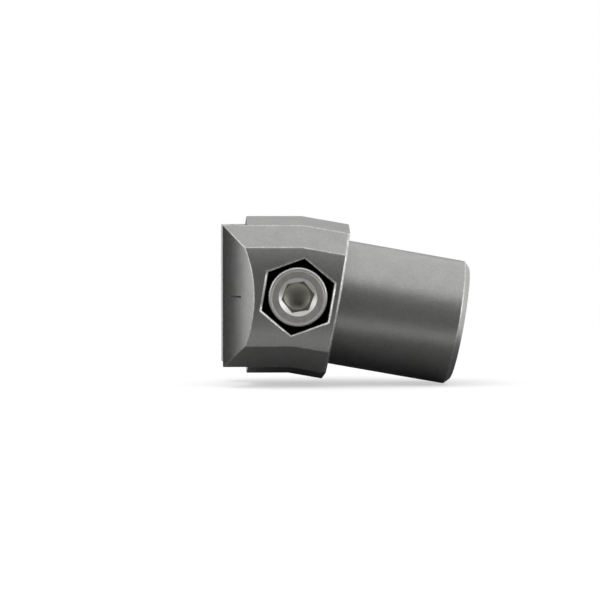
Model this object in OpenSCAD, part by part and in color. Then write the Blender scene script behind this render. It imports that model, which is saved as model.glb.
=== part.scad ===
// Angled internal connector for a 28 mm rail tube.
// Two mirror-image die-cast halves hook their claws round one rail of an upright tube. Their tail plugs into
// the end of a second tube, which leaves at a fixed slope. One cap screw and a nut pull the halves together
// between the claws and a rocker rib, so the claws close on the rail while the tail spreads in the bore.
// The origin is the middle of the rail's crown, +X leads away from the upright and +Z runs along it.

/* [Rail tube] */
// Diameter over the crowns of the tube's rails
rail_d = 28; // [27:0.5:32]
// Diameter over the round lobes between the rails
lobe_d = 25.8; // [25:0.2:26.6]
// Width of a rail over its flange
rail_w = 12.4; // [11.6:0.2:13]
// Depth from a rail's crown to the underside of its flange
flange_t = 1.6; // [1.5:0.1:2]
// Width of the groove under the flange, which the claw enters
groove_w = 1.1; // [0.9:0.1:1.4]
// Clearance between the casting and the tube
tube_fit = 0.15; // [0.05:0.05:0.2]

/* [Casting] */
// How far the casting stays inside the tube's outline at the top and at the bottom
height_inset = 0.25; // [0:0.05:1]
// Draft of the top and bottom faces, measured from the parting plane's normal
draft_a = 9.5; // [4:0.5:11]
// Radius of the crowned outer face
crown_r = 27; // [20:1:60]
// Slope of the three bevels that frame the outer face
bevel_a = 41; // [36:1:46]
// How far the lips reach past the rail's crown, round the lobes
lip_reach = 4.1; // [3.6:0.1:5]
// Thickness of a lip at its tip
lip_tip_t = 0.9; // [0.5:0.1:1.2]
// How far a claw reaches under the flange
claw_hook = 1; // [0.6:0.1:1.4]
// Gap between the two halves at the parting plane
parting_gap = 0.5; // [0.3:0.1:0.8]

/* [Centre mark] */
// Length of the centre mark along the sloping end
mark_l = 2.5; // [1:0.1:3.5]
// Width of the centre mark
mark_w = 0.3; // [0.2:0.05:0.6]
// Depth of the centre mark
mark_depth = 0.2; // [0.1:0.05:0.3]

/* [Bend] */
// Slope of the second tube below the horizontal
bend_a = 10; // [0:1:20]
// Distance from the rail's crown to the screw's axis, where the casting bends
screw_x = 8.65; // [8.4:0.05:10]
// Wall between the screw pocket and the end of the body
neck_wall = 1.5; // [1:0.1:3]
// Chamfer round the outer face at the end of the body, where the second tube butts against it
neck_chamfer = 0.35; // [0.2:0.05:0.6]

/* [Tail] */
// Diameter of the tail, spread to the tube's bore
tail_d = 21.8; // [19:0.2:23]
// Length of the tail beyond the body
tail_l = 22; // [18:1:40]
// Wall of the cored tail
tail_wall = 3; // [2:0.25:4]
// Lead-in chamfer at the end of the tail
tail_chamfer = 1; // [0.4:0.1:1.6]
// Angle by which each tail's parting face falls away from the rocker rib
tail_relief_a = 1.8; // [1.6:0.1:3]

/* [Rocker] */
// Diameter of the rocker rib
rib_d = 4; // [3:0.25:5]
// Length of the rocker rib
rib_l = 12; // [8:1:14]
// Distance from the end of the body to the rib's axis
rib_setback = 2.2; // [1:0.2:4]
// Running clearance round the rib in its groove
rib_fit = 0.05; // [0.02:0.01:0.1]
// Wall between the rib's groove and the tail's core
root_wall = 1.2; // [0.8:0.2:3]

/* [Screw and nut] */
// Thread diameter of the screw
screw_d = 6; // [5:0.5:6.5]
// Diameter of the screw's head
head_d = 10.2; // [9.4:0.1:10.6]
// Height of the screw's head
head_h = 6; // [5:0.25:6.5]
// Rounding of the head's rim
head_round = 0.6; // [0.2:0.1:1]
// How far the head lies below the crown of the casting
head_recess = 0.5; // [0.2:0.1:1.5]
// Width across the flats of the hexagon socket
socket_af = 5; // [4:0.5:6]
// Angle by which the socket stands turned from the pocket's hexagon
socket_turn = 10.7; // [0:0.1:30]
// Depth of the hexagon socket
socket_depth = 3; // [2:0.25:4]
// Chamfer at the mouth of the socket and at the tip of the thread
screw_chamfer = 0.6; // [0.3:0.1:0.9]
// Width across the flats of the nut
nut_af = 10; // [9:0.5:10.5]
// Height of the nut
nut_h = 5; // [4:0.25:5.5]
// Clearance round the screw in the nut
thread_fit = 0.05; // [0.02:0.01:0.1]
// Clearance round the screw in the castings, which lets them rock
hole_play = 0.5; // [0.4:0.05:0.8]
// Clearance round the head and the nut in their pockets
pocket_play = 0.6; // [0.5:0.05:0.8]

/* [Hidden] */
$fn = 96;

HEX = 6;
CASTING_GREY = "#8f8e8a";
SCREW_GREY = "#86867f";
NUT_GREY = "#9a9a94";

// Longer than any cut needs to be
cut_l = 120;
// How far a cut runs past the surface that it opens
past = 1;

rail_r = rail_d / 2;
body_d = rail_d;
body_h = rail_d - 2 * height_inset;
parting = parting_gap / 2;
saddle_r = lobe_d / 2 + tube_fit;
seat_r = rail_r + tube_fit;

// The lip's tip sets where the draft faces end and the bevels begin
lip_tip_y = sqrt(pow(saddle_r, 2) - pow(rail_r - lip_reach, 2));
shoulder_y = lip_tip_y + lip_tip_t;
shoulder_z = draft_z(shoulder_y);
bevel_top_y = body_d / 2 + past;
bevel_run = (bevel_top_y - shoulder_y) / tan(bevel_a);

seat_y = body_d / 2 - head_recess - head_h;
pocket_af = max(head_d, nut_af) + 2 * pocket_play;
neck_l = pocket_af / 2 + neck_wall;
screw_l = 2 * seat_y + nut_h;
socket_mouth_r = hex_r(socket_af) + screw_chamfer / 2;
// Block that holds the whole body at the steepest bend
body_block = 2 * body_h;

rib_u = neck_l + rib_setback;
tail_end = neck_l + tail_l;
tail_root = rib_u + rib_d / 2 + rib_l / 2 * sin(bend_a) + root_wall;

// Half the casting's height at a distance y from the parting plane
function draft_z(y) = body_h / 2 - y * tan(draft_a);

// Radius over the corners of a hexagon of that width across its flats
function hex_r(af) = af / 2 / cos(180 / HEX);

// A section drawn as (y, z), run along X
module along_x(from, to)
    translate([from, 0, 0])
        rotate([90, 0, 90])
            linear_extrude(to - from)
                children();

// The second tube's own frame: X along the tube from the screw's axis
module in_tube_frame()
    translate([screw_x, 0, 0])
        rotate([0, bend_a, 0])
            children();

// A prism along +Y, turned so that a pair of a hexagon's flats faces along X
module along_y(from)
    translate([0, from, 0])
        rotate([-90, 0, 0])
            rotate([0, 0, 180 / HEX])
                children();

// Outline of one half across its length: draft faces, bevels and a crowned outer face. It runs past the
// parting plane, where the block that it is cut from ends
module half_section()
    intersection() {
        translate([body_d / 2 - crown_r, 0])
            circle(crown_r);
        polygon([
            [-past, -draft_z(-past)],
            [shoulder_y, -shoulder_z],
            [bevel_top_y, bevel_run - shoulder_z],
            [bevel_top_y, shoulder_z - bevel_run],
            [shoulder_y, shoulder_z],
            [-past, draft_z(-past)]
        ]);
    }

// What lies outside the section and above a height, run along X
module outside_section(above)
    along_x(-cut_l / 2, cut_l / 2)
        difference() {
            translate([0, above])
                square([bevel_top_y + past, cut_l]);
            half_section();
        }

// The body of one half: a block cut to the section along X and along the second tube. Above the screw's axis
// each run trims it. Below, only what lies outside both goes. So the two runs meet in a mitre
module half_body()
    difference() {
        translate([-lip_reach, parting, -body_block / 2])
            cube([lip_reach + screw_x + body_block / 2, body_d / 2, body_block]);
        translate([screw_x, 0, 0])
            outside_section(0);
        in_tube_frame()
            outside_section(0);
        intersection() {
            translate([screw_x, 0, 0])
                outside_section(-cut_l / 2);
            in_tube_frame()
                outside_section(-cut_l / 2);
        }
        in_tube_frame() {
            translate([neck_l, -cut_l / 2, -cut_l / 2])
                cube(cut_l);
            neck_chamfers();
        }
    }

// What the chamfers take off the end of the body: a flat cut along each bevel and a conical one round the crown
module neck_chamfers() {
    for (side = [-1, 1])
        rotate([side * bevel_a, 0, 0])
            translate([neck_l - neck_chamfer, shoulder_y * cos(bevel_a) + shoulder_z * sin(bevel_a), 0])
                rotate([0, 0, -45])
                    translate([-cut_l / 2, 0, -cut_l / 2])
                        cube(cut_l);
    translate([neck_l - neck_chamfer, body_d / 2 - crown_r, 0])
        rotate([0, 90, 0])
            difference() {
                cylinder(h = cut_l, r = crown_r + past);
                translate([0, 0, -past])
                    cylinder(h = crown_r + past, r1 = crown_r + past, r2 = 0);
            }
}

// What lies outside the sloping end face of the lips
module end_bevel()
    linear_extrude(cut_l, center = true)
        polygon([
            [-lip_reach - past, shoulder_y - past * tan(bevel_a)],
            [bevel_run - lip_reach, bevel_top_y],
            [-lip_reach - past, bevel_top_y]
        ]);

// The lips stop at the bevels: the draft faces belong to the body alone
module lip_ends()
    for (side = [0, 1])
        mirror([0, 0, side])
            translate([tube_fit - cut_l, -cut_l / 2, shoulder_z])
                cube(cut_l);

// Room for the upright tube: its lobes, the rail, and the claw left standing in the groove
module rail_channel()
    translate([-rail_r, 0, 0])
        linear_extrude(cut_l, center = true)
            difference() {
                union() {
                    circle(saddle_r);
                    intersection() {
                        circle(seat_r);
                        translate([0, -rail_w / 2 - tube_fit])
                            square([rail_d, rail_w + 2 * tube_fit]);
                    }
                }
                translate([rail_r - flange_t - groove_w + tube_fit, rail_w / 2 - claw_hook])
                    square([groove_w - 2 * tube_fit, rail_w]);
            }

// Engraved line in the middle of the sloping end face
module centre_mark()
    translate([-lip_reach, shoulder_y, 0])
        rotate([0, 0, bevel_a])
            translate([((lip_reach + tube_fit) / cos(bevel_a) - mark_l) / 2, -mark_depth, -mark_w / 2])
                cube([mark_l, past, mark_w]);

// Round tail with its core, cut back to one side of the parting plane
module half_tail()
    in_tube_frame()
        difference() {
            translate([neck_l - past, 0, 0])
                rotate([0, 90, 0])
                    rotate_extrude()
                        polygon([
                            [0, 0],
                            [tail_d / 2, 0],
                            [tail_d / 2, tail_l + past - tail_chamfer],
                            [tail_d / 2 - tail_chamfer, tail_l + past],
                            [0, tail_l + past]
                        ]);
            translate([tail_root, 0, 0])
                rotate([0, 90, 0])
                    cylinder(h = tail_l, r = tail_d / 2 - tail_wall);
            linear_extrude(cut_l, center = true)
                polygon([
                    [0, -tail_d],
                    [0, parting],
                    [rib_u, parting],
                    [tail_end + past, parting + (tail_end + past - rib_u) * tan(tail_relief_a)],
                    [tail_end + past, -tail_d]
                ]);
        }

// Hexagon pocket for the screw's head or the nut, and the hole between them
module screw_pocket()
    in_tube_frame() {
        along_y(seat_y)
            cylinder(h = body_d, r = hex_r(pocket_af), $fn = HEX);
        along_y(-past)
            cylinder(h = seat_y + 2 * past, r = screw_d / 2 + hole_play);
    }

// Cylinder on the rocking axis, which is parallel to the upright tube
module rocker(radius, length)
    in_tube_frame()
        translate([rib_u, 0, 0])
            rotate([0, -bend_a, 0])
                cylinder(h = length, r = radius, center = true);

// One casting, on the +Y side of the parting plane
module half_casting()
    difference() {
        union() {
            half_body();
            half_tail();
        }
        end_bevel();
        lip_ends();
        rail_channel();
        centre_mark();
        screw_pocket();
    }

module front_half()
    color(CASTING_GREY)
        union() {
            mirror([0, 1, 0])
                half_casting();
            rocker(rib_d / 2, rib_l);
        }

module rear_half()
    color(CASTING_GREY)
        difference() {
            half_casting();
            rocker(rib_d / 2 + rib_fit, rib_l + 2 * rib_fit);
        }

// Cap screw, head to the front, its tip flush with the nut
module clamp_screw()
    color(SCREW_GREY)
        in_tube_frame()
            along_y(-seat_y - head_h)
                difference() {
                    rotate_extrude()
                        difference() {
                            polygon([
                                [0, 0],
                                [head_d / 2, 0],
                                [head_d / 2, head_h],
                                [screw_d / 2, head_h],
                                [screw_d / 2, head_h + screw_l - screw_chamfer],
                                [screw_d / 2 - screw_chamfer, head_h + screw_l],
                                [0, head_h + screw_l]
                            ]);
                            translate([head_d / 2 - head_round, head_round])
                                rim_corner();
                        }
                    translate([0, 0, -past])
                        rotate([0, 0, socket_turn])
                            cylinder(h = past + socket_depth, r = hex_r(socket_af), $fn = HEX);
                    translate([0, 0, socket_depth])
                        cylinder(h = socket_af / 4, r1 = socket_af / 2, r2 = 0);
                    cylinder(h = screw_chamfer, r1 = socket_mouth_r, r2 = socket_mouth_r - 2 * screw_chamfer);
                }

// What a rounding takes off the outer corner of the head's rim
module rim_corner()
    difference() {
        translate([0, -2 * head_round])
            square(2 * head_round);
        circle(head_round);
    }

// Hexagon nut with both faces chamfered to a circle
module clamp_nut()
    color(NUT_GREY)
        in_tube_frame()
            along_y(seat_y)
                difference() {
                    intersection() {
                        cylinder(h = nut_h, r = hex_r(nut_af), $fn = HEX);
                        rotate_extrude()
                            polygon([
                                [0, 0],
                                [nut_af / 2, 0],
                                [hex_r(nut_af), (hex_r(nut_af) - nut_af / 2) / 2],
                                [hex_r(nut_af), nut_h - (hex_r(nut_af) - nut_af / 2) / 2],
                                [nut_af / 2, nut_h],
                                [0, nut_h]
                            ]);
                    }
                    translate([0, 0, -past])
                        cylinder(h = nut_h + 2 * past, r = screw_d / 2 + thread_fit);
                }

front_half();
rear_half();
clamp_screw();
clamp_nut();
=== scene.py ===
import math

import bmesh
import bpy
from mathutils import Matrix, Vector


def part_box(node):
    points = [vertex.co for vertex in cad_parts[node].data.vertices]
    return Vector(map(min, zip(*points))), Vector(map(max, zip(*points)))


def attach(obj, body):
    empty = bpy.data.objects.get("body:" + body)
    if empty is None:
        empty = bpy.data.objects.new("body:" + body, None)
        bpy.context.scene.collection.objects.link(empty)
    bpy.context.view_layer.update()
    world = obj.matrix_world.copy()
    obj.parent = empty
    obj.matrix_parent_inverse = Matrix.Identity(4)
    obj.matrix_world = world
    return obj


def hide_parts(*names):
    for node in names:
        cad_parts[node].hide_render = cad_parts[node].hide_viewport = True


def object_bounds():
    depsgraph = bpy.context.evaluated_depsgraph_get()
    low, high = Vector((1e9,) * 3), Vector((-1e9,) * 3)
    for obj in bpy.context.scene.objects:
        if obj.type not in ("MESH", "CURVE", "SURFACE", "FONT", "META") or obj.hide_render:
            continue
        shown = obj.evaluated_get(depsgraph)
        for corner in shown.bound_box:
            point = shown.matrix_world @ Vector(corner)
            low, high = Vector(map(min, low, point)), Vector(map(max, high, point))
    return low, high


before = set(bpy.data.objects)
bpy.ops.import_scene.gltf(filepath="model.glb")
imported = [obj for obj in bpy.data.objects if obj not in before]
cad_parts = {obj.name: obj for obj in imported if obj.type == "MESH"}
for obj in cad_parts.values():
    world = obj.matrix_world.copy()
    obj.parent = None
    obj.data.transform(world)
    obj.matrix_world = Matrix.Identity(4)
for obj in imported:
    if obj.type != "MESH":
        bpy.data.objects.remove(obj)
cad_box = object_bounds()

# Front casting
# The half shell that faces the viewer, die-cast in aluminium and tumbled, so its skin is a matt grey and its
# edges are rounded and polished in nicks. The cap screw in its hexagon pocket pulls it against the rear casting,
# which closes the claws of both.
MM = 0.001
WELD = 0.002 * MM
FLAT_ANGLE = math.radians(0.4)
FLAT_WEIGHT = 100
EDGE_ANGLE = math.radians(20)
EDGE_MASK = "worn_edge"
EDGE_WEAR = 0.75
FULL_WEAR = 1.0
PAINTED_SHADE_MASK = "painted_shade_in_hollows"
CAST_ROUND = 0.14 * MM
ROUND_STEPS = 3
RIM_CHAMFER = 0.36 * MM
RIM_ROOM = 0.8 * MM
POCKET_INNER = 5.5 * MM
POCKET_SIDE = POCKET_INNER + 3 * CAST_ROUND
POCKET_OUTER = 6.8 * MM
POCKET_MOUTH = 12.5 * MM
MARK_REACH = 2 * MM
MARK_WIDTH = 0.2 * MM
MARK_SHADE = 0.6
BEND = math.radians(10)
BODY_WAY = Vector((1, 0, 0))
TAIL_WAY = Vector((math.cos(BEND), 0, -math.sin(BEND)))
MITRE_WAY = Vector((math.cos(BEND / 2), 0, -math.sin(BEND / 2)))
NECK_DEPTH = 8.5 * MM
NECK_REACH = 25 * MM
NECK_FLATTEST = 0.4
NECK_STEEPEST = 0.9
CROWN_RADIUS = 27 * MM
CROWN_NEAR = 0.02 * MM
CROWN_TURN = math.radians(6)
screw_low, screw_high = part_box("clamp_screw")
screw_middle = (screw_low + screw_high) / 2


def screw_distance(point):
    """Distance from the screw's axis."""
    return math.hypot(point.x - screw_middle.x, point.z - screw_middle.z)


def on_rim(edge):
    """Whether an edge lies round the mouth of the screw's pocket."""
    first, second = (v.co for v in edge.verts)
    for point in (first, second):
        if not POCKET_INNER < screw_distance(point) < POCKET_OUTER or abs(point.y) <= POCKET_MOUTH:
            return False
    return abs(first.y - second.y) < edge.calc_length() / 2


def in_pocket(face):
    """Whether a face is a side or the floor of the screw's pocket, or of the hole in it."""
    middle = face.calc_center_median()
    return screw_distance(middle) < POCKET_SIDE and abs(middle.y) < POCKET_MOUTH


def in_corner(edge):
    """Whether an edge is an inner corner of the screw's pocket."""
    return not edge.is_convex and all(screw_distance(v.co) < POCKET_OUTER + RIM_CHAMFER for v in edge.verts)


def in_mark(verts):
    """Whether corners lie in the small centre mark on the sloping end."""
    return all(abs(v.co.z) < MARK_WIDTH and v.co.x < MARK_REACH for v in verts)


def on_neck(face):
    """Whether a face is part of the chamfer at the end of the body."""
    middle = face.calc_center_median()
    slope = face.normal.dot(TAIL_WAY)
    return NECK_FLATTEST < slope < NECK_STEEPEST and abs(middle.y) > NECK_DEPTH and middle.x < NECK_REACH


def clear_rim(bm):
    """Merges corners of the crown that lie in the chamfer's way with the next corner."""
    rim = {v for e in bm.edges if on_rim(e) for v in e.verts}
    outer = [v for v in bm.verts if v not in rim and abs(v.co.y) > POCKET_MOUTH]
    for vert in [v for v in outer if min((v.co - r.co).length for r in rim) < RIM_ROOM]:
        others = [e.other_vert(vert) for e in vert.link_edges]
        near = min((v for v in others if v not in rim), key=lambda other: (other.co - vert.co).length)
        bmesh.ops.pointmerge(bm, verts=[vert, near], merge_co=near.co)


def break_edges(bm, edges, width, steps, wear):
    """Chamfers or rounds edges. The new faces carry the mask of a worn edge."""
    made = bmesh.ops.bevel(bm, geom=edges, offset=width, offset_type="OFFSET", segments=steps, profile=0.5,
                           affect="EDGES", clamp_overlap=False, material=-1)
    for face in made["faces"]:
        face[bm.faces.layers.float[EDGE_MASK]] = wear
    return made["faces"]


def smooth_piece(bm, name):
    """A piece of the object from finished mesh work, shaded smooth."""
    for face in bm.faces:
        face.smooth = True
    mesh = bpy.data.meshes.new(name)
    bm.to_mesh(mesh)
    bm.free()
    piece = bpy.data.objects.new(name, mesh)
    bpy.context.scene.collection.objects.link(piece)
    return piece


def crown_normal(point, middle):
    """What the crowned outer face's normal would be at a point of a face with a given middle."""
    away = Vector((point.x - screw_middle.x, 0, point.z - screw_middle.z))
    way = TAIL_WAY if (middle - screw_middle).dot(MITRE_WAY) > 0 else BODY_WAY
    depth = abs(point.y) - cad_box[1].y + CROWN_RADIUS
    return away - away.dot(way) * way + Vector((0, math.copysign(depth, point.y), 0))


def shade_casting(piece):
    """Keeps flat faces flat up to their rounded edges, and gives the crowned outer face its exact normals."""
    mesh = piece.data
    flat = piece.modifiers.new("flat_faces", "WEIGHTED_NORMAL")
    flat.keep_sharp = False
    flat.weight = FLAT_WEIGHT
    shaded = piece.evaluated_get(bpy.context.evaluated_depsgraph_get()).data
    normals = [corner.vector.copy() for corner in shaded.corner_normals]
    for face in mesh.polygons:
        for corner in face.loop_indices:
            crown = crown_normal(mesh.vertices[mesh.loops[corner].vertex_index].co, face.center)
            if abs(crown.length - CROWN_RADIUS) < CROWN_NEAR and crown.angle(normals[corner]) < CROWN_TURN:
                normals[corner] = crown.normalized()
    piece.modifiers.remove(flat)
    mesh.normals_split_custom_set(normals)


def rounded_casting(node, name):
    """A half's solid with a chamfered pocket and rounded edges, and with masks for its worn edges and for the
    shade painted into its hollows.
    """
    bm = bmesh.new()
    bm.from_mesh(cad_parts[node].data)
    bmesh.ops.remove_doubles(bm, verts=bm.verts, dist=WELD)
    bmesh.ops.dissolve_limit(bm, angle_limit=FLAT_ANGLE, verts=bm.verts, edges=bm.edges)
    worn = bm.faces.layers.float.new(EDGE_MASK)
    hollow_shade = bm.faces.layers.float.new(PAINTED_SHADE_MASK)
    for face in bm.faces:
        face[worn] = FULL_WEAR * on_neck(face)
        # Painted shade: the pocket's sides and floor carry all of it, and the small centre mark a part of it.
        face[hollow_shade] = 1.0 if in_pocket(face) else MARK_SHADE * in_mark(face.verts)
    clear_rim(bm)
    for face in break_edges(bm, [e for e in bm.edges if on_rim(e)], RIM_CHAMFER, 1, FULL_WEAR):
        face[hollow_shade] = 0.0
    sharp = [e for e in bm.edges if e.is_manifold and e.calc_face_angle() > EDGE_ANGLE]
    rounded = [e for e in sharp if not in_mark(e.verts) and not in_corner(e)]
    break_edges(bm, rounded, CAST_ROUND, ROUND_STEPS, EDGE_WEAR)
    piece = smooth_piece(bm, name)
    shade_casting(piece)
    return piece


class Port:
    """A socket in a node tree. Arithmetic on ports, or on a port and a number, adds Math nodes."""

    def __init__(self, tree, socket=None):
        self.tree = tree
        self.socket = socket

    def node(self, kind, inputs=None, settings=None, output=None):
        """Adds a node, makes its settings, then sets or links its sockets. Returns one of its outputs."""
        made = self.tree.nodes.new(kind)
        for name, value in (settings or {}).items():
            setattr(made, name, value)
        for key, value in (inputs or {}).items():
            socket = next(s for s in made.inputs if key in (s.identifier, s.name))
            if isinstance(value, Port):
                self.tree.links.new(value.socket, socket)
            else:
                socket.default_value = value
        wanted = [s for s in made.outputs if output in (None, s.identifier, s.name)]
        return Port(self.tree, wanted[0] if wanted else None)

    def maths(self, operation, first, second=0.0, clamp=False):
        terms = {"Value": first, "Value_001": second}
        return self.node("ShaderNodeMath", terms, {"operation": operation, "use_clamp": clamp})

    def __add__(self, other):
        return self.maths("ADD", self, other)

    def __sub__(self, other):
        return self.maths("SUBTRACT", self, other)

    def __rsub__(self, other):
        return self.maths("SUBTRACT", other, self)

    def __mul__(self, other):
        return self.maths("MULTIPLY", self, other)

    __radd__ = __add__
    __rmul__ = __mul__

    def above(self, limit, width):
        """Rises from 0 to 1 over a width that begins at a limit."""
        return self.maths("MULTIPLY", self - limit, 1 / width, clamp=True)

    def mix(self, first, second):
        """A colour between two, by this port's value."""
        colours = {"Factor": self, "A_Color": first, "B_Color": second}
        return self.node("ShaderNodeMix", colours, {"data_type": "RGBA"}, "Result_Color")


def new_material(name):
    material = bpy.data.materials.new(name)
    material.use_nodes = True
    material.node_tree.nodes.clear()
    return material, Port(material.node_tree)


def noise(tree, size, detail=3.0):
    """Noise with features of one size, fixed to the piece."""
    place = tree.node("ShaderNodeTexCoord", output="Object")
    return tree.node("ShaderNodeTexNoise", {"Vector": place, "Scale": 1 / size, "Detail": detail})


def bare_metal(tree, colour, roughness, relief):
    """Ends a material as uncoated metal. The relief is a bump's strength, depth and height."""
    strength, depth, height = relief
    bump = tree.node("ShaderNodeBump", {"Strength": strength, "Distance": depth, "Height": height})
    surface = tree.node("ShaderNodeBsdfPrincipled", {
        "Base Color": colour, "Metallic": 1.0, "Roughness": roughness, "Normal": bump})
    tree.node("ShaderNodeOutputMaterial", {"Surface": surface})


CAST_LIGHT = (0.46, 0.46, 0.455, 1)
CAST_DARK = (0.37, 0.37, 0.365, 1)
CAST_EDGE = (0.8, 0.8, 0.78, 1)
CAST_PAINTED_SHADE = (0.09, 0.09, 0.088, 1)
CAST_CLOUD = 2.2 * MM
CAST_MOTTLE = 0.45 * MM
CAST_GRAIN = 0.12 * MM
CAST_NICK = 0.5 * MM
FINE_DETAIL = 2.0
NICK_DETAIL = 4.0
NICK_START = 0.48
NICK_WIDTH = 0.12
LEAST_POLISH = 0.4
CLOUD_SHARE = 0.4
TONE_START = 0.3
TONE_WIDTH = 0.4
CAST_BUMP = 0.5
CAST_RELIEF = 0.012 * MM
CAST_ROUGHNESS = 0.32
GRAIN_ROUGHNESS = 0.06
MOTTLE_ROUGHNESS = 0.1
HOLLOW_ROUGHNESS = 0.2
POLISH_GLOSS = 0.06
cast_skin, tree = new_material("tumbled_die_cast_aluminium")
cloud = noise(tree, CAST_CLOUD)
mottle = noise(tree, CAST_MOTTLE)
grain = noise(tree, CAST_GRAIN, FINE_DETAIL)
edge = tree.node("ShaderNodeAttribute", settings={"attribute_name": EDGE_MASK}, output="Fac")
hollow_shade = tree.node("ShaderNodeAttribute", settings={"attribute_name": PAINTED_SHADE_MASK}, output="Fac")
nick = noise(tree, CAST_NICK, NICK_DETAIL).above(NICK_START, NICK_WIDTH)
polish = edge * (LEAST_POLISH + (1 - LEAST_POLISH) * nick)
tone = (CLOUD_SHARE * cloud + (1 - CLOUD_SHARE) * mottle).above(TONE_START, TONE_WIDTH)
colour = polish.mix(tone.mix(CAST_DARK, CAST_LIGHT), CAST_EDGE)
# Painted shade: the pocket and the centre mark are darkened towards near black.
colour = hollow_shade.mix(colour, CAST_PAINTED_SHADE)
roughness = CAST_ROUGHNESS + GRAIN_ROUGHNESS * grain + MOTTLE_ROUGHNESS * mottle
roughness = roughness + HOLLOW_ROUGHNESS * hollow_shade - POLISH_GLOSS * polish
bare_metal(tree, colour, roughness, (CAST_BUMP, CAST_RELIEF, grain + mottle + edge * nick))

front_casting = rounded_casting("front_half", "front_casting")
front_casting.data.materials.append(cast_skin)
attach(front_casting, "front_jaw")
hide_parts("front_half")

# Rear casting
# The mirror image of the front half from the same alloy. Its groove sits on the front half's rocker rib, and
# its pocket holds the nut.
rear_casting = rounded_casting("rear_half", "rear_casting")
rear_casting.data.materials.append(cast_skin)
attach(rear_casting, "rear_jaw")
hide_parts("rear_half")

# Clamp screw
# A steel cap screw with a knurled head and a hexagon socket, cold headed and thread rolled. Its head sits on
# the floor of the front pocket, and its thread runs through both halves into the nut.
SEGMENTS = 192
HEX = 6
HEX_CRISPNESS = 90
PITCH = 1.0 * MM
THREAD_DEPTH = 0.61 * MM
THREAD_STEPS = 8
THREAD_RUN_IN = 2 * PITCH
CREST = 1 / 8
ROOT = 1 / 4
HEAD_HEIGHT = 6 * MM
HEAD_RADIUS = (screw_high.x - screw_low.x) / 2
HEAD_ROUND = 0.45 * MM
HEAD_ROUND_STEPS = 8
HEAD_FOOT = 0.3 * MM
GROOVE_WIDTH = 0.26 * MM
GROOVE_DEPTH = 0.035 * MM
GROOVE_FLOOR = (0.65, 0.35)
KNURL_DEPTH = 0.16 * MM
KNURL_INSET = 0.06 * MM
SOCKET_FLATS = 5 * MM
SOCKET_DEPTH = 3 * MM
SOCKET_ANGLE = math.radians(20.7)
MOUTH_RADIUS = 3.3 * MM
MOUTH_SLOPE = 0.5
PIT_RADIUS = 2.28 * MM
PIT_DEPTH = 1.6 * MM
PIT_WALL = 0.4
SHANK_RADIUS = 3 * MM
SCREW_LENGTH = screw_high.y - screw_low.y
TIP_CHAMFER = 0.6 * MM


def hexagon(angle, flats, turn):
    """Distance from the axis to a hexagon's side, its corners barely rounded. A flat faces along the turn."""
    sides = (abs(math.cos(angle - turn - k * math.tau / HEX)) for k in range(HEX // 2))
    return flats / 2 / sum(side ** HEX_CRISPNESS for side in sides) ** (1 / HEX_CRISPNESS)


def thread(angle, height):
    """How far a right-handed thread lies below its crest, from 0 to 1."""
    phase = (height / PITCH - angle / math.tau) % 1
    return min(max((2 * abs(phase - 0.5) - CREST) / (1 - CREST - ROOT), 0), 1)


def arc(centre, radius, first, last, steps):
    """Points on an arc, as (radius, height), with its angles in degrees from the radial direction."""
    angles = (math.radians(first + (last - first) * k / steps) for k in range(steps + 1))
    return [(centre[0] + radius * math.cos(a), centre[1] + radius * math.sin(a)) for a in angles]


def turned(name, profile, placement, closed):
    """A piece with an axis. The profile gives its (radius, height) points at an angle round that axis."""
    bm = bmesh.new()
    rings = []
    for k in range(SEGMENTS):
        angle = math.tau * k / SEGMENTS
        ring = [bm.verts.new((r * math.cos(angle), r * math.sin(angle), z)) for r, z in profile(angle)]
        rings.append(ring)
    for here, there in zip(rings, rings[1:] + rings[:1]):
        rows = list(zip(here, there))
        following = rows[1:] + rows[:1] if closed else rows[1:]
        for (a, b), (c, d) in zip(rows, following):
            bm.faces.new((a, b, d, c))
    bmesh.ops.remove_doubles(bm, verts=bm.verts, dist=WELD)
    bmesh.ops.recalc_face_normals(bm, faces=bm.faces)
    for edge in bm.edges:
        edge.smooth = edge.calc_face_angle() < EDGE_ANGLE
    piece = smooth_piece(bm, name)
    piece.matrix_world = placement
    return piece


def along_screw(height):
    """The screw's own frame at a place along it: Z runs from the head to the tip."""
    axis = Matrix(((1, 0, 0, 0), (0, 0, 1, 0), (0, -1, 0, 0), (0, 0, 0, 1)))
    return Matrix.Translation((screw_middle.x, height, screw_middle.z)) @ axis


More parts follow.
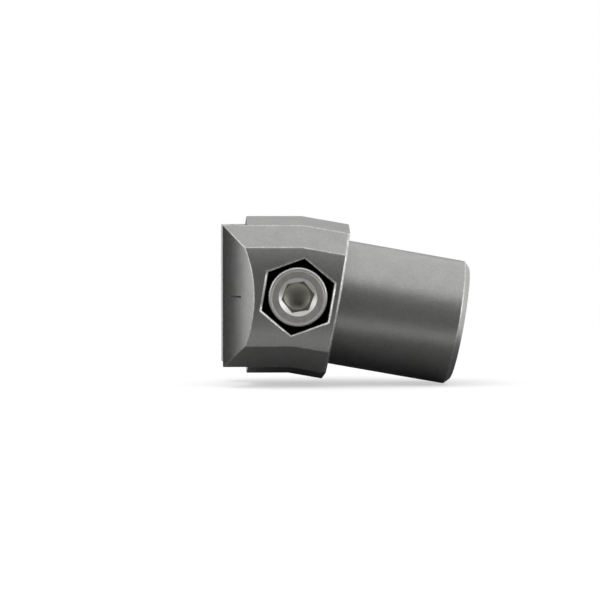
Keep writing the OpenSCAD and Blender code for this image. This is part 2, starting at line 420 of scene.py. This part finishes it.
def screw_profile(angle):
    """From the bottom of the socket's drilled pit, over the head and down the thread to the tip."""
    socket = hexagon(angle, SOCKET_FLATS, SOCKET_ANGLE)
    valley = int(angle / math.tau * SEGMENTS + 0.5) // 2 % 2
    side = HEAD_RADIUS - KNURL_INSET - KNURL_DEPTH * valley
    rim = HEAD_RADIUS - HEAD_ROUND
    points = [(0, SOCKET_DEPTH + PIT_DEPTH), (PIT_RADIUS, SOCKET_DEPTH + PIT_DEPTH * PIT_WALL)]
    points += [(PIT_RADIUS, SOCKET_DEPTH), (socket, SOCKET_DEPTH)]
    points += [(socket, (MOUTH_RADIUS - socket) * MOUTH_SLOPE), (MOUTH_RADIUS, 0), (rim - GROOVE_WIDTH, 0)]
    points += [(rim - GROOVE_WIDTH * share, GROOVE_DEPTH) for share in GROOVE_FLOOR]
    points += arc((rim, HEAD_ROUND), HEAD_ROUND, -90, 0, HEAD_ROUND_STEPS)
    points += [(side, HEAD_ROUND + KNURL_DEPTH), (side, HEAD_HEIGHT - HEAD_FOOT)]
    points += [(HEAD_RADIUS - HEAD_FOOT, HEAD_HEIGHT), (SHANK_RADIUS, HEAD_HEIGHT)]
    thread_length = SCREW_LENGTH - HEAD_HEIGHT - TIP_CHAMFER
    steps = round(thread_length / PITCH * THREAD_STEPS)
    for k in range(1, steps + 1):
        height = HEAD_HEIGHT + thread_length * k / steps
        run_in = min((height - HEAD_HEIGHT) / THREAD_RUN_IN, 1)
        points.append((SHANK_RADIUS - THREAD_DEPTH * run_in * thread(angle, height), height))
    return points + [(SHANK_RADIUS - THREAD_DEPTH, SCREW_LENGTH), (0, SCREW_LENGTH)]


SCREW_LIGHT = (0.72, 0.71, 0.68, 1)
SCREW_DARK = (0.65, 0.64, 0.61, 1)
SCREW_PAINTED_HIGHLIGHT = (0.7, 0.695, 0.68, 1)
SCREW_SOCKET_SHADE = (0.5, 0.49, 0.42, 1)
SCREW_SHANK = (0.5, 0.495, 0.475, 1)
STEEL_CLOUD = 1.4 * MM
STEEL_SCRATCH = 0.15 * MM
STEEL_START = 0.35
STEEL_WIDTH = 0.3
STEEL_BUMP = 0.4
STEEL_RELIEF = 0.005 * MM
SCREW_ROUGHNESS = 0.4
CLOUD_ROUGHNESS = 0.1
BRIGHT_GLOSS = 0.06
SOCKET_GLOSS = 0.05
MOUTH_BAND = 0.05 * MM
RIM_BAND = 0.5 * MM
RIM_FADE = 0.1 * MM
screw_steel, tree = new_material("zinc_plated_screw_steel")
cloud = noise(tree, STEEL_CLOUD)
scratch = noise(tree, STEEL_SCRATCH, FINE_DETAIL)
place = tree.node("ShaderNodeTexCoord", output="Object")
flatten = {"Vector": place, "Vector_001": (1, 1, 0)}
across = tree.node("ShaderNodeVectorMath", flatten, {"operation": "MULTIPLY"})
radius = tree.node("ShaderNodeVectorMath", {"Vector": across}, {"operation": "LENGTH"}, "Value")
height = tree.node("ShaderNodeSeparateXYZ", {"Vector": place}, output="Z")
past_mouth = radius + height * (1 / MOUTH_SLOPE) - MOUTH_RADIUS
mouth = 1 - tree.maths("ABSOLUTE", past_mouth).above(MOUTH_BAND, MOUTH_BAND)
socket = past_mouth.above(MOUTH_BAND, MOUTH_BAND) * (MOUTH_RADIUS - radius).above(0, MOUTH_BAND)
socket = socket * (HEAD_HEIGHT - height).above(0, MOUTH_BAND)
rim = radius.above(HEAD_RADIUS - RIM_BAND, RIM_FADE) * (HEAD_ROUND - height).above(0, MOUTH_BAND)
# Painted highlight: the socket's mouth and the head's rim get one even pale colour, and less roughness.
painted_highlight = tree.maths("MAXIMUM", mouth, rim)
colour = cloud.above(STEEL_START, STEEL_WIDTH).mix(SCREW_DARK, SCREW_LIGHT)
colour = painted_highlight.mix(colour, SCREW_PAINTED_HIGHLIGHT)
# Painted shade: the inside of the socket gets a darker, yellower colour.
colour = socket.mix(colour, SCREW_SOCKET_SHADE)
colour = height.above(HEAD_HEIGHT, MOUTH_BAND).mix(colour, SCREW_SHANK)
roughness = SCREW_ROUGHNESS + CLOUD_ROUGHNESS * cloud - BRIGHT_GLOSS * painted_highlight - SOCKET_GLOSS * socket
bare_metal(tree, colour, roughness, (STEEL_BUMP, STEEL_RELIEF, scratch + cloud))

cap_screw = turned("cap_screw", screw_profile, along_screw(screw_low.y), closed=False)
cap_screw.data.materials.append(screw_steel)
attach(cap_screw, "screw")
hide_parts("clamp_screw")

# Clamp nut
# A steel hexagon nut, chamfered on both faces and tapped. It lies in the rear half's pocket, whose flats keep it
# from turning.
NUT_FLATS = 10 * MM
NUT_ANGLE = math.radians(10)
NUT_SLOPE = 0.5
BORE_RADIUS = 3.05 * MM
BORE_GROOVE = 0.25 * MM
BORE_MOUTH = 0.4 * MM
nut_low, nut_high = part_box("clamp_nut")
NUT_HEIGHT = nut_high.y - nut_low.y


def nut_profile(angle):
    """Up the tapped bore, out over the upper face, down the flat and in over the lower face."""
    side = hexagon(angle, NUT_FLATS, NUT_ANGLE)
    drop = (side - NUT_FLATS / 2) * NUT_SLOPE
    points = [(BORE_RADIUS + BORE_MOUTH, 0)]
    thread_length = NUT_HEIGHT - 2 * BORE_MOUTH
    steps = round(thread_length / PITCH * THREAD_STEPS)
    for k in range(steps + 1):
        height = BORE_MOUTH + thread_length * k / steps
        points.append((BORE_RADIUS + BORE_GROOVE * (1 - thread(angle, height)), height))
    points += [(BORE_RADIUS + BORE_MOUTH, NUT_HEIGHT), (NUT_FLATS / 2, NUT_HEIGHT)]
    return points + [(side, NUT_HEIGHT - drop), (side, drop), (NUT_FLATS / 2, 0)]


NUT_LIGHT = (0.56, 0.555, 0.54, 1)
NUT_DARK = (0.45, 0.445, 0.43, 1)
NUT_ROUGHNESS = 0.34
nut_steel, tree = new_material("zinc_plated_nut_steel")
cloud = noise(tree, STEEL_CLOUD)
scratch = noise(tree, STEEL_SCRATCH, FINE_DETAIL)
colour = cloud.above(STEEL_START, STEEL_WIDTH).mix(NUT_DARK, NUT_LIGHT)
roughness = NUT_ROUGHNESS + CLOUD_ROUGHNESS * cloud
bare_metal(tree, colour, roughness, (STEEL_BUMP, STEEL_RELIEF, scratch + cloud))

hexagon_nut = turned("hexagon_nut", nut_profile, along_screw(nut_low.y), closed=True)
hexagon_nut.data.materials.append(nut_steel)
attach(hexagon_nut, "nut")
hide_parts("clamp_nut")

# Floor, light and camera
# A pale floor in white surroundings, seen from a little left of and a little above the front. Dark and grey cards
# stand or lie out of sight round the part, as round any metal that is photographed on white, and soft boxes light
# it from above and from both sides.
FLOOR_Z = cad_box[0].z - 0.1 * MM
FLOOR_REACH = 2.0
FLOOR_SHARE = 0.5
FLOOR_NEAR = 0.12
FLOOR_FADE = 0.25
FLOOR_PALE = (0.95, 0.95, 0.95, 1)
WHITE = (1, 1, 1, 1)
AMBIENT = 0.8


def panel(name, low, high, material):
    """A flat piece of the stage, square to the axes, between two opposite corners."""
    first, second = (axis for axis in range(3) if low[axis] != high[axis])
    corners = [list(low) for _ in range(4)]
    for corner, (one, other) in zip(corners, ((low, low), (high, low), (high, high), (low, high))):
        corner[first] = one[first]
        corner[second] = other[second]
    mesh = bpy.data.meshes.new(name)
    mesh.from_pydata(corners, [], [range(len(corners))])
    mesh.materials.append(material)
    made = bpy.data.objects.new(name, mesh)
    bpy.context.scene.collection.objects.link(made)
    return made


def shown_white(tree):
    """1 where the background is seen, straight or in metal or glass, and 0 where it only lights."""
    ray = {name: tree.node("ShaderNodeLightPath", output=name)
           for name in ("Is Camera Ray", "Is Glossy Ray", "Is Transmission Ray")}
    return tree.maths("ADD", ray["Is Camera Ray"] + ray["Is Glossy Ray"], ray["Is Transmission Ray"], clamp=True)


floor_paint, tree = new_material("pale_floor")
matt = tree.node("ShaderNodeBsdfDiffuse", {"Color": FLOOR_PALE})
glow = tree.node("ShaderNodeEmission", {"Color": WHITE, "Strength": 1.0})
place = tree.node("ShaderNodeTexCoord", output="Object")
distance = tree.node("ShaderNodeVectorMath", {"Vector": place}, {"operation": "LENGTH"}, "Value")
own_light = FLOOR_SHARE * (1 - distance.above(FLOOR_NEAR, FLOOR_FADE))
white_share = shown_white(tree) * (1 - own_light)
surface = tree.node("ShaderNodeMixShader", {"Fac": white_share, "Shader": matt, "Shader_001": glow})
tree.node("ShaderNodeOutputMaterial", {"Surface": surface})
panel("floor", (-FLOOR_REACH, -FLOOR_REACH, FLOOR_Z), (FLOOR_REACH, FLOOR_REACH, FLOOR_Z), floor_paint)

world = bpy.data.worlds.new("studio")
bpy.context.scene.world = world
world.use_nodes = True
world.node_tree.nodes.clear()
tree = Port(world.node_tree)
dim = tree.node("ShaderNodeBackground", {"Color": WHITE, "Strength": AMBIENT})
white = tree.node("ShaderNodeBackground", {"Color": WHITE, "Strength": 1.0})
surface = tree.node("ShaderNodeMixShader", {"Fac": shown_white(tree), "Shader": dim, "Shader_001": white})
tree.node("ShaderNodeOutputWorld", {"Surface": surface})

CARD_DARK = (0.02, 0.02, 0.02, 1)
CARD_DEEP = (0.095, 0.095, 0.095, 1)
CARD_DIM = (0.13, 0.13, 0.13, 1)
CARD_GREY = (0.42, 0.42, 0.42, 1)
CARD_Z = FLOOR_Z + 0.05 * MM
FRONT_Y = -0.75
FRONT_REACH = 0.5
FRONT_TOP = 0.25
HIGH_TOP = 0.66
NEAR_REACH = 0.2
GREY_Y = -0.038
LOWER_Y = -0.02
UNDER_Y = 0.01
BACK_Y = 0.3
BACK_REACH = 0.12
BACK_TOP = 0.13
SIDE_X = -0.008


def card(name, colour, low, high):
    """A card that only shows in the part's metal."""
    paint, tree = new_material(name)
    surface = tree.node("ShaderNodeBsdfDiffuse", {"Color": colour})
    tree.node("ShaderNodeOutputMaterial", {"Surface": surface})
    made = panel(name, low, high, paint)
    made.visible_camera = False
    made.visible_shadow = False
    made.visible_diffuse = False


card("front_card", CARD_DEEP, (-FRONT_REACH, FRONT_Y, CARD_Z), (FRONT_REACH, FRONT_Y, FRONT_TOP))
card("high_card", CARD_DARK, (-FRONT_REACH, FRONT_Y, FRONT_TOP), (FRONT_REACH, FRONT_Y, HIGH_TOP))
card("near_card", CARD_DEEP, (-NEAR_REACH, FRONT_Y, CARD_Z), (NEAR_REACH, GREY_Y, CARD_Z))
card("grey_card", CARD_GREY, (-0.06, GREY_Y, CARD_Z), (0.08, LOWER_Y, CARD_Z))
card("lower_card", CARD_DIM, (-0.4, LOWER_Y, CARD_Z), (0.06, UNDER_Y, CARD_Z))
card("back_card", CARD_DARK, (-BACK_REACH, BACK_Y, CARD_Z), (BACK_REACH, BACK_Y, BACK_TOP))
card("side_card", CARD_DARK, (SIDE_X, -0.0136, CARD_Z), (SIDE_X, 0.004, 0.018))


def soft_box(name, place, width, power, in_metal):
    """A square lamp that faces the part."""
    light = bpy.data.lights.new(name, "AREA")
    light.shape = "SQUARE"
    light.size = width
    light.energy = power
    lamp = bpy.data.objects.new(name, light)
    lamp.location = place
    lamp.rotation_euler = (-Vector(place)).to_track_quat("-Z", "Y").to_euler()
    lamp.visible_camera = False
    lamp.visible_glossy = in_metal
    bpy.context.scene.collection.objects.link(lamp)


soft_box("overhead_soft_box", place=(-0.25, -0.35, 1.2), width=1.2, power=8.0, in_metal=False)
soft_box("left_soft_box", place=(-0.85, -0.28, 0.2), width=0.7, power=1.4, in_metal=True)
soft_box("right_soft_box", place=(0.82, -0.36, 0.2), width=0.7, power=1.5, in_metal=True)

AIM = Vector((9.55, 0, -0.99)) * MM
AZIMUTH = math.radians(-2.4)
ELEVATION = math.radians(2.1)
DISTANCE = 0.55
FRAME_WIDTH = 104.9 * MM
SENSOR = 36
camera = bpy.data.cameras.new("camera")
camera.sensor_width = SENSOR
camera.lens = SENSOR * DISTANCE / FRAME_WIDTH
viewer = bpy.data.objects.new("camera", camera)
towards = Vector((math.sin(AZIMUTH) * math.cos(ELEVATION), -math.cos(AZIMUTH) * math.cos(ELEVATION),
                  math.sin(ELEVATION)))
viewer.location = AIM + DISTANCE * towards
viewer.rotation_euler = towards.to_track_quat("Z", "Y").to_euler()
bpy.context.scene.collection.objects.link(viewer)
bpy.context.scene.camera = viewer
bpy.context.scene.view_settings.view_transform = "Standard"
